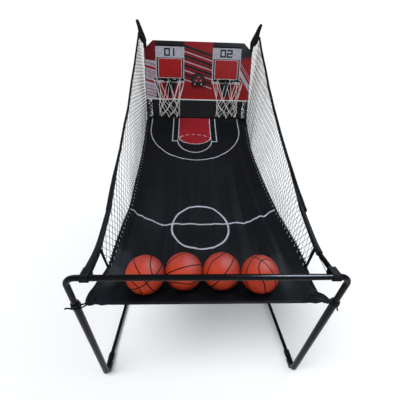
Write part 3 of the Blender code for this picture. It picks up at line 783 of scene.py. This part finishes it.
# The two families of strands on each side: slope in degrees, and spacing
NET_FAMILIES = {"left": ((54.0, 0.032), (-47.0, 0.031)), "right": ((82.0, 0.026), (-58.0, 0.028))}
NET_CORD_RADIUS = 0.0012
NET_TOP = ((0.20, 0.882), (0.44, 1.008), (1.845, 1.955), (1.955, 1.87))
LEFT_TOP_X = ((0.20, 0.484), (0.44, 0.489), (0.74, 0.481), (1.04, 0.483), (1.49, 0.498), (1.845, 0.513),
              (1.96, 0.49))
RIGHT_TOP_X = ((0.20, 0.507), (0.34, 0.513), (0.47, 0.510), (0.57, 0.502), (0.75, 0.491), (1.07, 0.486),
               (1.285, 0.490), (1.845, 0.518), (1.96, 0.49))
BLEND_START = at(0.0, 0.35, 0.72)
BLEND_END = at(0.0, 1.75, 1.15)


def follow_the_fold(piece):
    """Bake a soft piece that spans both frames into its mesh where it stands; it is not set up to bend when
    the machine folds.
    """
    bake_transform(piece)


def net_bottom(depth):
    """The height of the ramp's edge, where the side net is laced on."""
    centre = along_profile([(row[0], row[1]) for row in RAMP_LINE], depth)
    return centre + along_profile(EDGE_RAISE, depth)


def net_point(side, depth, z):
    """A point of a side net, between the ramp's edge and the top hem."""
    low = net_bottom(depth)
    high = along_profile(NET_TOP, depth)
    share = min(1.0, max(0.0, (z - low) / max(0.02, high - low)))
    outer = along_profile(LEFT_TOP_X if side < 0.0 else RIGHT_TOP_X, depth)
    inner = edge_width(side, depth)
    bow = 0.010 * math.sin(math.pi * share) * smooth((depth - 0.25) / 0.3)
    drift = 0.003 * noise.noise(Vector((depth * 4.0, z * 4.0, side)))
    return at(side * (mix(inner, outer, share) - bow + drift), depth, z)


def inside_net(depth, z):
    """Whether a point is inside the side net's outline."""
    front = 0.235 + (z - 0.78) * -0.25
    return (front <= depth <= 1.945 and net_bottom(depth) <= z <= along_profile(NET_TOP, depth))


def build_side_net(label, side):
    """Diamond netting of thin cord, made of two crossing families of strands."""
    cords = Strands()
    for slope, spacing in NET_FAMILIES[label]:
        direction = (math.cos(math.radians(slope)), math.sin(math.radians(slope)))
        across = (-direction[1], direction[0])
        for line in range(-70, 71):
            start = (1.0 + across[0] * line * spacing, 1.2 + across[1] * line * spacing)
            run = []
            for step in range(-90, 91):
                depth = start[0] + direction[0] * step * 0.02
                z = start[1] + direction[1] * step * 0.02
                if inside_net(depth, z):
                    run.append(net_point(side, depth, z))
                elif len(run) > 1:
                    break
                else:
                    run = []
            if len(run) > 1:
                cords.add(run, NET_CORD_RADIUS, 4)
    net = cords.build("side_netting_" + label, NET_CORD, None)
    follow_the_fold(net)
    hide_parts("side_net_" + label)


# The net arm's path, close to the frame's: how far to the side, back and up; and its lean to +X
ARM_POINTS = ((0.480, 0.012, 0.8955), (0.4995, 0.21, 0.876), (0.4905, 0.44, 1.0))
ARM_LEAN = (0.0095, 0.0125, 0.0105)


def arm_corner(side, index):
    """A corner of the net arm's path."""
    x, depth, z = ARM_POINTS[index]
    return at(side * x + ARM_LEAN[index], depth, z)


def build_net_hem(label, side):
    """The fabric sleeve along the top of the net, and the strap from its front end to the ramp's edge."""
    hem = Strands()
    outward = Vector((side, 0.0, 0.0))
    top = []
    for step in range(91):
        depth = mix(0.40, 1.845, step / 90.0)
        sag = 0.004 * noise.noise(Vector((depth * 9.0, side * 3.0, 1.0)))
        top.append(net_point(side, depth, along_profile(NET_TOP, depth)) + Vector((0.0, 0.0, sag)))
    hem.add(top, 0.0150, 8, 0.42, outward)
    tip = arm_corner(side, 2)
    after = net_point(side, 0.85, along_profile(NET_TOP, 0.85))
    hem.add(curve_through([arm_corner(side, 1).lerp(tip, 0.9), tip, tip.lerp(after, 0.35), after], 8),
            0.0121, 12, 1.0, None, 0.35)
    bend = arm_corner(side, 1) + Vector((-side * 0.004, 0.018, 0.004))
    edge = at(side * (edge_width(side, 0.235) + 0.002), 0.235, net_bottom(0.235) + 0.002)
    hem.add([bend.lerp(edge, step / 10.0) for step in range(11)], 0.0110, 8, 0.45, outward, 0.8)
    piece = hem.build("net_hem_" + label, WEBBING, None)
    follow_the_fold(piece)


def build_arm_sleeve(label, side):
    """The fabric sleeve over the net arm, from the rail to the start of the long hem."""
    start, bend, tip = (arm_corner(side, index) for index in range(3))
    knee = bend.lerp(tip, 0.06) + UP * 0.004
    if side < 0.0:
        path = curve_through([start, start.lerp(bend, 0.75), knee, bend.lerp(tip, 0.3), tip], 10)
        radius, taper = 0.0185, 0.63
    else:
        path = curve_through([start.lerp(bend, 0.86), knee, bend.lerp(tip, 0.3), tip], 10)
        radius, taper = 0.0150, 0.78
    sleeve = Strands()
    sleeve.add(path, radius, 14, 1.0, None, taper)
    piece = sleeve.build("arm_sleeve_" + label, WEBBING, FRONT)


def build_strap(label, side):
    """The flat webbing strap from the arm's bend forward to the rail."""
    strap = Strands()
    start = arm_corner(side, 1) + Vector((-side * 0.012, 0.02, 0.012))
    end = arm_corner(side, 0) + Vector((-side * (0.017 if side < 0.0 else 0.030), 0.0, 0.004))
    strap.add([start.lerp(end, step / 8.0) for step in range(9)], 0.0080, 8, 0.16, Vector((side, 0.0, 0.5)))
    piece = strap.build("rail_strap_" + label, WEBBING, FRONT)


POCKET_HALF = 0.0150
POCKET_CORNER = 0.64


def build_gusset(label, side):
    """The fabric pocket over the horn: a flat corner between its tip, the net's hem and the board."""
    base = at(side * 0.486, 1.990, 1.868)
    turn = at(side * 0.486, 1.986, 1.938)
    tip = at(side * 0.5205, 1.8375, 2.0525)
    hem_end = at(side * 0.5150, 1.8425, 1.950)
    spine = curve_through([base, base.lerp(turn, 0.6), turn,
                           turn.lerp(tip, 0.35), turn.lerp(tip, 0.7), tip], 6)
    points = []
    sides, rows = 18, len(spine)
    for row, centre in enumerate(spine):
        share = row / (rows - 1.0)
        if share < POCKET_CORNER:
            lower = base.lerp(hem_end, share / POCKET_CORNER)
        else:
            lower = hem_end.lerp(tip, (share - POCKET_CORNER) / (1.0 - POCKET_CORNER))
        reach = lower - centre + Vector((0.0, -0.004, -0.010))
        along = (spine[min(rows - 1, row + 1)] - spine[max(0, row - 1)]).normalized()
        down = reach - along * reach.dot(along) * 0.5
        across = down.cross(along).normalized()
        half = POCKET_HALF * (1.0 - 0.35 * smooth((share - 0.9) / 0.1))
        for step in range(sides):
            angle = math.tau * step / sides
            drop = math.cos(angle)
            depth = down * drop if drop > 0.0 else down.normalized() * (drop * half)
            pinch = 1.0 - 0.72 * max(0.0, drop) ** 1.2
            crease = 1.0 + 0.08 * math.sin(share * 31.0 + step * 1.3)
            points.append(centre + depth + across * (math.sin(angle) * half * pinch * crease))
    piece = add_mesh("horn_pocket_" + label, points, tube_faces(0, rows, sides), [WEBBING], REAR)
    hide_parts("gusset_" + label)


def build_bunched_net(label, side):
    """The slack end of the side net, gathered between the valance and the horn."""
    rng = random.Random(3 if side < 0 else 5)
    cords = Strands()
    for strand in range(34):
        top = at(side * rng.uniform(0.424, 0.480), rng.uniform(1.930, 1.958), 1.436)
        foot = at(side * rng.uniform(0.428, 0.484), rng.uniform(1.905, 1.945), rng.uniform(1.262, 1.275))
        path = []
        for step in range(19):
            share = step / 18.0
            sway = 0.013 * math.sin(share * 17.0 + strand * 1.7) * math.sin(math.pi * share) ** 0.5
            path.append(top.lerp(foot, share) + Vector((sway, 0.5 * sway, 0.0)))
        cords.add(path, NET_CORD_RADIUS * 1.3, 4)
    piece = cords.build("bunched_net_" + label, NET_CORD, REAR)


LACE_STEPS = 84
STITCH_EVERY = 2


def build_lacing(label, side):
    """Cord that ties the side net to the ramp: dark teeth up into the net, pale stitches on the ramp."""
    teeth, stitches = Strands(), Strands()
    for step in range(LACE_STEPS):
        depth, middle, after = (mix(0.24, 1.86, (step + part) / LACE_STEPS) for part in (0.0, 0.5, 1.0))
        low = at(side * (edge_width(side, depth) - 0.006), depth, net_bottom(depth) + 0.005)
        high = net_point(side, middle, net_bottom(middle) + 0.015)
        last = at(side * (edge_width(side, after) - 0.006), after, net_bottom(after) + 0.005)
        teeth.add([low, high, last], 0.0028, 5)
        if step % STITCH_EVERY == 0:
            start = low + Vector((-side * 0.005, 0.010, 0.003))
            end = low + Vector((-side * 0.011, -0.010, 0.002))
            stitches.add([start, start.lerp(end, 0.5) + UP * 0.002, end], 0.0015, 5)
    follow_the_fold(teeth.build("edge_lacing_" + label, LACE_CORD, None))
    follow_the_fold(stitches.build("edge_stitches_" + label, LIGHT_LACE, None))


def build_edge_roll(label, side):
    """The sewn edge of the ramp, from the front corner to the board."""
    roll = Strands()
    path = [ramp_point(side, depth, z) for depth, z, _ in RAMP_LINE[:-12]]
    roll.add(path, 0.0055, 8, 0.6, UP)
    follow_the_fold(roll.build("ramp_edge_" + label, WEBBING, None))


def add_knot(strands, leg, turns, tail):
    """A tie wound round a leg, with loose ends."""
    for index in range(turns):
        tilt = 0.25 if index % 2 else -0.2
        middle = leg + UP * 0.007 * index
        across = Vector((0.0, 1.0, tilt)).normalized()
        strands.add(ring_path(middle, 0.0165, EAST, across, 18), 0.0048, 8)
    start = leg + Vector((tail[0] * 0.5, -0.014, 0.0))
    end = start + Vector(tail)
    strands.add(curve_through([start, start + Vector(tail) * 0.5 + UP * 0.004, end]), 0.0032, 6)


def build_front_hem():
    """The sewn front hem of the ramp and the ties that hold its corners to the legs."""
    hem = Strands()
    front_depth, front_z = RAMP_CENTRE[0]
    front = [ramp_point(mix(-1.0, 1.0, step / 80.0), front_depth, front_z) for step in range(81)]
    hem.add(front, 0.0070, 8, 0.55, UP)
    left_leg, right_leg = at(-LEG_X, 0.052, 0.717), at(LEG_X, 0.052, 0.717)
    left, right = (ramp_point(side, front_depth, front_z) for _, side in SIDES)
    hem.add(curve_through([left + Vector((0.03, 0, 0)), left, left_leg + Vector((0.012, -0.012, 0.006))]),
            0.0042, 8, 0.7, UP)
    hem.add(curve_through([left + Vector((0.035, 0.03, 0.012)), left - UP * 0.008,
                           left_leg + Vector((0.010, -0.014, -0.012))]), 0.0032, 6)
    add_knot(hem, left_leg - UP * 0.010, 2, (-0.026, -0.004, 0.006))
    for share in range(5):
        rise = 0.010 - 0.003 * share
        gathered = ramp_point(mix(0.80, 0.95, share / 4.0), 0.055 + 0.007 * share, front_z)
        hem.add(curve_through([gathered - UP * 0.004, gathered.lerp(right_leg, 0.4) + UP * 0.006,
                               gathered.lerp(right_leg, 0.75) + UP * rise,
                               right_leg + Vector((-0.010, -0.006, rise))]), 0.0048, 7)
    right_end = right_leg + Vector((-0.012, -0.012, -0.004))
    hem.add(curve_through([right - EAST * 0.03, right, right_end]), 0.0075, 8, 0.5, UP)
    add_knot(hem, right_leg - UP * 0.006, 3, (0.006, -0.006, -0.020))
    piece = hem.build("front_hem", WEBBING, FRONT)


def build_valance():
    """The plain fabric panel under the board, slightly puckered along its top seam."""
    low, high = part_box("valance")
    points, flat = [], []
    columns, rows = 80, 16
    for row in range(rows + 1):
        z = mix(low.z, high.z, row / rows)
        for column in range(columns + 1):
            x = mix(low.x, high.x, column / columns)
            wave = 0.0025 * noise.noise(Vector((x * 9.0, z * 3.0, 2.0))) * (1.0 - 0.6 * row / rows)
            points.append(Vector((x, (low.y + high.y) / 2.0 + wave, z)))
            flat.append((x, z))
    weave = woven("valance_cloth", (0.012, 0.012, 0.013)).material
    cloth = add_mesh("valance_cloth", points, grid_faces(columns, rows), [weave], REAR, flat)
    solid = cloth.modifiers.new("thickness", "SOLIDIFY")
    solid.thickness = CLOTH_THICKNESS
    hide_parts("valance")


# ---------------------------------------------------------------- board print

BOARD_HALF = 0.49
BOARD_LOW = 1.444
BOARD_HIGH = 1.93
SHOULDER_Z = 1.86
SHOULDER_X = 0.413
INK_STEP = 0.00022

INKS = {
    "red": printed("ink_red", PRINT_RED),
    "bright": printed("ink_bright_red", BRIGHT_RED),
    "dark_red": printed("ink_dark_red", (0.13, 0.004, 0.006)),
    "black": printed("ink_black", (0.008, 0.008, 0.009)),
    "grey": printed("ink_grey", PRINT_GREY),
    "pale": printed("ink_pale", (0.52, 0.51, 0.55)),
    "frame": printed("ink_frame", (0.008, 0.010, 0.011)),
}


class Print:
    """Flat printed shapes stacked a hair apart on the board's face."""

    def __init__(self):
        self.points = []
        self.faces = []
        self.inks = []
        self.layer = 1

    def shape(self, ink, outline):
        first = len(self.points)
        depth = BOARD_DEPTH - INK_STEP * self.layer
        self.points += [at(x, depth, z) for x, z in outline]
        self.faces.append(tuple(range(first, first + len(outline))))
        self.inks.append(ink)

    def box(self, ink, left, low, right, high):
        self.shape(ink, [(left, low), (right, low), (right, high), (left, high)])

    def band(self, ink, start, end, width):
        """A slanting stripe between two points."""
        start, end = Vector(start), Vector(end)
        run = end - start
        normal = Vector((-run.y, run.x)).normalized() * (width / 2.0)
        self.shape(ink, [start - normal, end - normal, end + normal, start + normal])

    def next_layer(self):
        self.layer += 1

    def build(self, name, body):
        names = sorted(set(self.inks))
        piece = add_mesh(name, self.points, self.faces, [INKS[ink] for ink in names], body, None, False)
        for face, ink in zip(piece.data.polygons, self.inks):
            face.material_index = names.index(ink)
        shape = bmesh.new()
        shape.from_mesh(piece.data)
        for face in shape.faces:
            if face.normal.y > 0.0:
                face.normal_flip()
        shape.to_mesh(piece.data)
        shape.free()
        return piece


NUMERALS = {
    "0": (((0, 0), (0, 1)), ((1, 0), (1, 1)), ((0, 0), (1, 0)), ((0, 1), (1, 1))),
    "1": (((0.5, 0), (0.5, 1)),),
    "2": (((0, 1), (1, 1)), ((1, 1), (1, 0.5)), ((0, 0.5), (1, 0.5)), ((0, 0.5), (0, 0)), ((0, 0), (1, 0))),
}
NUMERAL_WIDTH = 0.040
NUMERAL_GAP = 0.020
NUMERAL_STROKE = 0.013


def print_numerals(sheet, digits, centre_x, low, height):
    """A plain block number, built from straight strokes."""
    total = NUMERAL_WIDTH * len(digits) + NUMERAL_GAP * (len(digits) - 1)
    x = centre_x - total / 2.0
    for digit in digits:
        for start, end in NUMERALS[digit]:
            ends = [Vector((x + u * NUMERAL_WIDTH, low + v * height)) for u, v in (start, end)]
            run = (ends[1] - ends[0]).normalized() * (NUMERAL_STROKE / 2.0)
            sheet.band("black", ends[0] - run, ends[1] + run, NUMERAL_STROKE)
        x += NUMERAL_WIDTH + NUMERAL_GAP


# The target under each number, from the back layer to the front: ink, half width, bottom and top
TARGET_BOXES = (("pale", 0.1255, 1.600, 1.7995), ("frame", 0.1225, 1.603, 1.7965),
                ("pale", 0.1085, 1.6250, 1.7900), ("bright", 0.1040, 1.629, 1.786))
COLUMN_HALF = 0.131


def print_target(sheet, side, digits):
    """One light column with its black header, block number, black frame and red square."""
    x = side * HOOP_X
    sheet.box("grey", x - COLUMN_HALF, 1.585, x + COLUMN_HALF, 1.895)
    sheet.box("black", x - COLUMN_HALF, 1.8855, x + COLUMN_HALF, BOARD_HIGH)
    sheet.next_layer()
    print_numerals(sheet, digits, x - 0.005 * side, 1.815, 0.052)
    for ink, half, low, high in TARGET_BOXES:
        sheet.box(ink, x - half, low, x + half, high)
        sheet.next_layer()


# The left margin's stripes: height, and how wide each one is
LEFT_STRIPES = {
    "red": ((1.752, 0.005), (1.742, 0.003), (1.690, 0.004), (1.675, 0.005), (1.659, 0.004), (1.640, 0.005),
            (1.560, 0.005), (1.530, 0.006), (1.500, 0.005), (1.475, 0.007)),
    "bright": ((1.716, 0.020), (1.600, 0.018)),
}


def print_left_column(sheet):
    """The left margin: dark red above, grey with slanting red stripes below."""
    inner = -HOOP_X - COLUMN_HALF
    sheet.shape("dark_red", [(-BOARD_HALF, 1.775), (inner, 1.765), (inner, BOARD_HIGH),
                             (-SHOULDER_X, BOARD_HIGH), (-BOARD_HALF, SHOULDER_Z)])
    sheet.shape("grey", [(-BOARD_HALF, BOARD_LOW), (-0.36, BOARD_LOW), (-0.36, 1.585), (inner, 1.585),
                         (inner, 1.765), (-BOARD_HALF, 1.775)])
    sheet.next_layer()
    for ink, stripes in LEFT_STRIPES.items():
        for z, width in stripes:
            sheet.band(ink, (-BOARD_HALF, z + 0.006), (inner, z - 0.018), width)


def print_right_column(sheet):
    """The right margin: black above red, two thin pale diagonals, and a pale bar below."""
    inner = HOOP_X + COLUMN_HALF
    sheet.shape("black", [(inner, 1.80), (BOARD_HALF, 1.825), (BOARD_HALF, SHOULDER_Z),
                          (SHOULDER_X, BOARD_HIGH), (inner, BOARD_HIGH)])
    sheet.shape("red", [(inner, BOARD_LOW), (BOARD_HALF, BOARD_LOW), (BOARD_HALF, 1.825), (inner, 1.80)])
    sheet.next_layer()
    sheet.shape("dark_red", [(inner, 1.785), (BOARD_HALF, 1.80), (BOARD_HALF, 1.826), (inner, 1.802)])
    sheet.band("grey", (inner, 1.765), (BOARD_HALF, 1.640), 0.004)
    sheet.band("grey", (inner, 1.742), (BOARD_HALF, 1.612), 0.003)
    sheet.shape("grey", [(inner, 1.660), (BOARD_HALF, 1.520), (BOARD_HALF, 1.575), (inner, 1.715)])


# One group of stripes: ink, how far below the group's top it starts, and how tall it is
STRIPE_GROUP = (("black", 0.0, 0.022), ("black", 0.032, 0.008), ("grey", 0.050, 0.008))
STRIPE_GROUPS = 4
STRIPE_PITCH = 0.078
STRIPE_TOP = 1.905
STRIPE_FALL = 0.075


def print_centre(sheet):
    """The middle: red, crossed by an even run of plain slanting stripes."""
    inner = HOOP_X - COLUMN_HALF
    sheet.box("red", -inner, BOARD_LOW, inner, BOARD_HIGH)
    sheet.box("red", -0.392, BOARD_LOW, -inner, 1.585)
    sheet.box("red", inner, BOARD_LOW, 0.392, 1.585)
    sheet.next_layer()
    for group in range(STRIPE_GROUPS):
        for ink, below, height in STRIPE_GROUP:
            high = STRIPE_TOP - STRIPE_PITCH * group - below
            low = high - height
            sheet.shape(ink, [(-inner, low), (inner, low - STRIPE_FALL),
                              (inner, high - STRIPE_FALL), (-inner, high)])


def build_board_print():
    """All the ink on the board, with generic shapes only."""
    sheet = Print()
    print_centre(sheet)
    sheet.layer = 1
    print_left_column(sheet)
    sheet.layer = 1
    print_right_column(sheet)
    for side, digits in ((-1.0, "01"), (1.0, "02")):
        sheet.layer = 3
        print_target(sheet, side, digits)
    piece = sheet.build("board_print", REAR)


# ---------------------------------------------------------------- score box

SEGMENTS = {"0": "abcdef", "3": "abgcd"}
SEGMENT_LINES = {
    "a": ((0, 1), (1, 1)), "b": ((1, 1), (1, 0.5)), "c": ((1, 0.5), (1, 0)), "d": ((0, 0), (1, 0)),
    "e": ((0, 0), (0, 0.5)), "f": ((0, 0.5), (0, 1)), "g": ((0, 0.5), (1, 0.5)),
}


DIGIT_WIDTH = 0.0050
DIGIT_HEIGHT = 0.0105
DIGIT_PITCH = 0.0076


def build_digits():
    """Three small lit counters on the display: the clock above, a score on each side below."""
    low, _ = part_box("display")
    cords = Strands()
    for text, x, z in (("30", 0.002, 1.632), ("00", -0.018, 1.604), ("00", 0.023, 1.604)):
        for place_index, digit in enumerate(text):
            left = x + (place_index - 1) * DIGIT_PITCH + 0.0010
            for name in SEGMENTS[digit]:
                start, end = (Vector((left + u * DIGIT_WIDTH, low.y - 0.0003, z + v * DIGIT_HEIGHT))
                              for u, v in SEGMENT_LINES[name])
                path = [start.lerp(end, 0.1), start.lerp(end, 0.9)]
                cords.add(path, 0.0008, 6, 0.2, Vector((0, 1, 0)))
    cords.build("score_digits", lit_digit(), REAR)


# ---------------------------------------------------------------- stage

CAMERA_PLACE = (-0.09, -0.838, 1.565)
CAMERA_PITCH = 22.73
CAMERA_YAW = 2.86
CAMERA_ROLL = 1.59
CAMERA_LENS = 24.53
SENSOR_WIDTH = 36.0


def build_camera():
    """The camera in front of the rail and above it, looking down the ramp."""
    pitch, yaw, roll = (math.radians(value) for value in (CAMERA_PITCH, CAMERA_YAW, CAMERA_ROLL))
    forward = Vector((math.sin(yaw) * math.cos(pitch), math.cos(yaw) * math.cos(pitch), -math.sin(pitch)))
    right = Vector((math.cos(yaw), -math.sin(yaw), 0.0))
    up = right.cross(forward)
    tilted_right = right * math.cos(roll) + up * math.sin(roll)
    tilted_up = up * math.cos(roll) - right * math.sin(roll)
    data = bpy.data.cameras.new("camera")
    data.lens = CAMERA_LENS
    data.sensor_width = SENSOR_WIDTH
    camera = link("camera", data)
    turn = Matrix((tilted_right, tilted_up, -forward)).transposed().to_4x4()
    camera.matrix_world = Matrix.Translation(at(*CAMERA_PLACE)) @ turn
    bpy.context.scene.camera = camera


def build_world():
    """A white backdrop for the eye, and a much dimmer cool sky to light the machine."""
    world = bpy.data.worlds.new("studio")
    world.use_nodes = True
    tree = world.node_tree
    backdrop = tree.nodes["Background"]
    backdrop.inputs["Color"].default_value = (1.0, 1.0, 1.0, 1.0)
    backdrop.inputs["Strength"].default_value = 1.0
    sky = tree.nodes.new("ShaderNodeBackground")
    sky.inputs["Color"].default_value = (0.86, 0.92, 1.0, 1.0)
    sky.inputs["Strength"].default_value = 0.24
    path = tree.nodes.new("ShaderNodeLightPath")
    pick = tree.nodes.new("ShaderNodeMixShader")
    tree.links.new(path.outputs["Is Camera Ray"], pick.inputs[0])
    tree.links.new(sky.outputs[0], pick.inputs[1])
    tree.links.new(backdrop.outputs[0], pick.inputs[2])
    tree.links.new(pick.outputs[0], tree.nodes["World Output"].inputs["Surface"])
    bpy.context.scene.world = world


def add_light(name, kind, place, aim, power, colour):
    """A light that faces a point."""
    data = bpy.data.lights.new(name, kind)
    data.energy = power
    data.color = colour
    light = link(name, data)
    light.location = place
    light.rotation_euler = (aim - place).to_track_quat("-Z", "Y").to_euler()
    return light


def add_sun(name, place, strength, spread, colour=(1.0, 1.0, 1.0)):
    """Even light from far away, softened by a wide spread; it leaves no glints."""
    light = add_light(name, "SUN", place, Vector(), strength, colour)
    light.data.angle = math.radians(spread)
    light.visible_glossy = False


def add_softbox(name, place, aim, width, height, power, colour):
    """A rectangular soft light that faces a point and only shows as a glint."""
    light = add_light(name, "AREA", place, aim, power, colour)
    light.data.shape = "RECTANGLE"
    light.data.size = width
    light.data.size_y = height
    light.visible_diffuse = False


def build_stage():
    """A pale seamless floor and soft studio light."""
    surface = Surface("studio_floor", (0.97, 0.97, 0.97), 0.9, specular=0.1)
    surface.set("Emission Color", (1.0, 1.0, 1.0, 1.0))
    surface.set("Emission Strength", 0.07)
    surface.tones(0.5, 2.0, (0.3, (0.965, 0.965, 0.965)), (0.7, (0.98, 0.98, 0.98)))
    reach = 60.0
    corners = [(-reach, -reach, 0.0), (reach, -reach, 0.0), (reach, reach, 0.0), (-reach, reach, 0.0)]
    floor = add_mesh("studio_floor", corners, [(0, 1, 2, 3)], [surface.material], None, None, False)
    build_world()
    add_sun("key_sun", Vector((-1.7, -2.9, 4.6)), 2.65, 35.0)
    add_sun("fill_sun", Vector((3.4, -1.0, 3.6)), 0.55, 50.0, (0.90, 0.95, 1.0))
    add_softbox("right_window", at(1.15, 0.25, 2.9), at(0.25, 0.1, 0.85), 1.3, 0.7, 230.0, (0.72, 0.84, 1.0))
    add_softbox("left_window", at(-1.9, 1.5, 2.2), at(-0.4, 0.6, 0.8), 1.4, 1.2, 34.0, (0.55, 0.72, 1.0))
    bpy.context.scene.view_settings.view_transform = "Standard"


def build_all():
    """Build every visible piece."""
    finish_cad_nodes()
    build_ramp()
    build_balls()
    build_front_hem()
    build_valance()
    build_board_print()
    build_digits()
    for label, side in SIDES:
        build_hoop_net(label, side)
        build_side_net(label, side)
        build_net_hem(label, side)
        build_arm_sleeve(label, side)
        build_strap(label, side)
        build_gusset(label, side)
        build_bunched_net(label, side)
        build_lacing(label, side)
        build_edge_roll(label, side)
    build_stage()
    build_camera()


build_all()
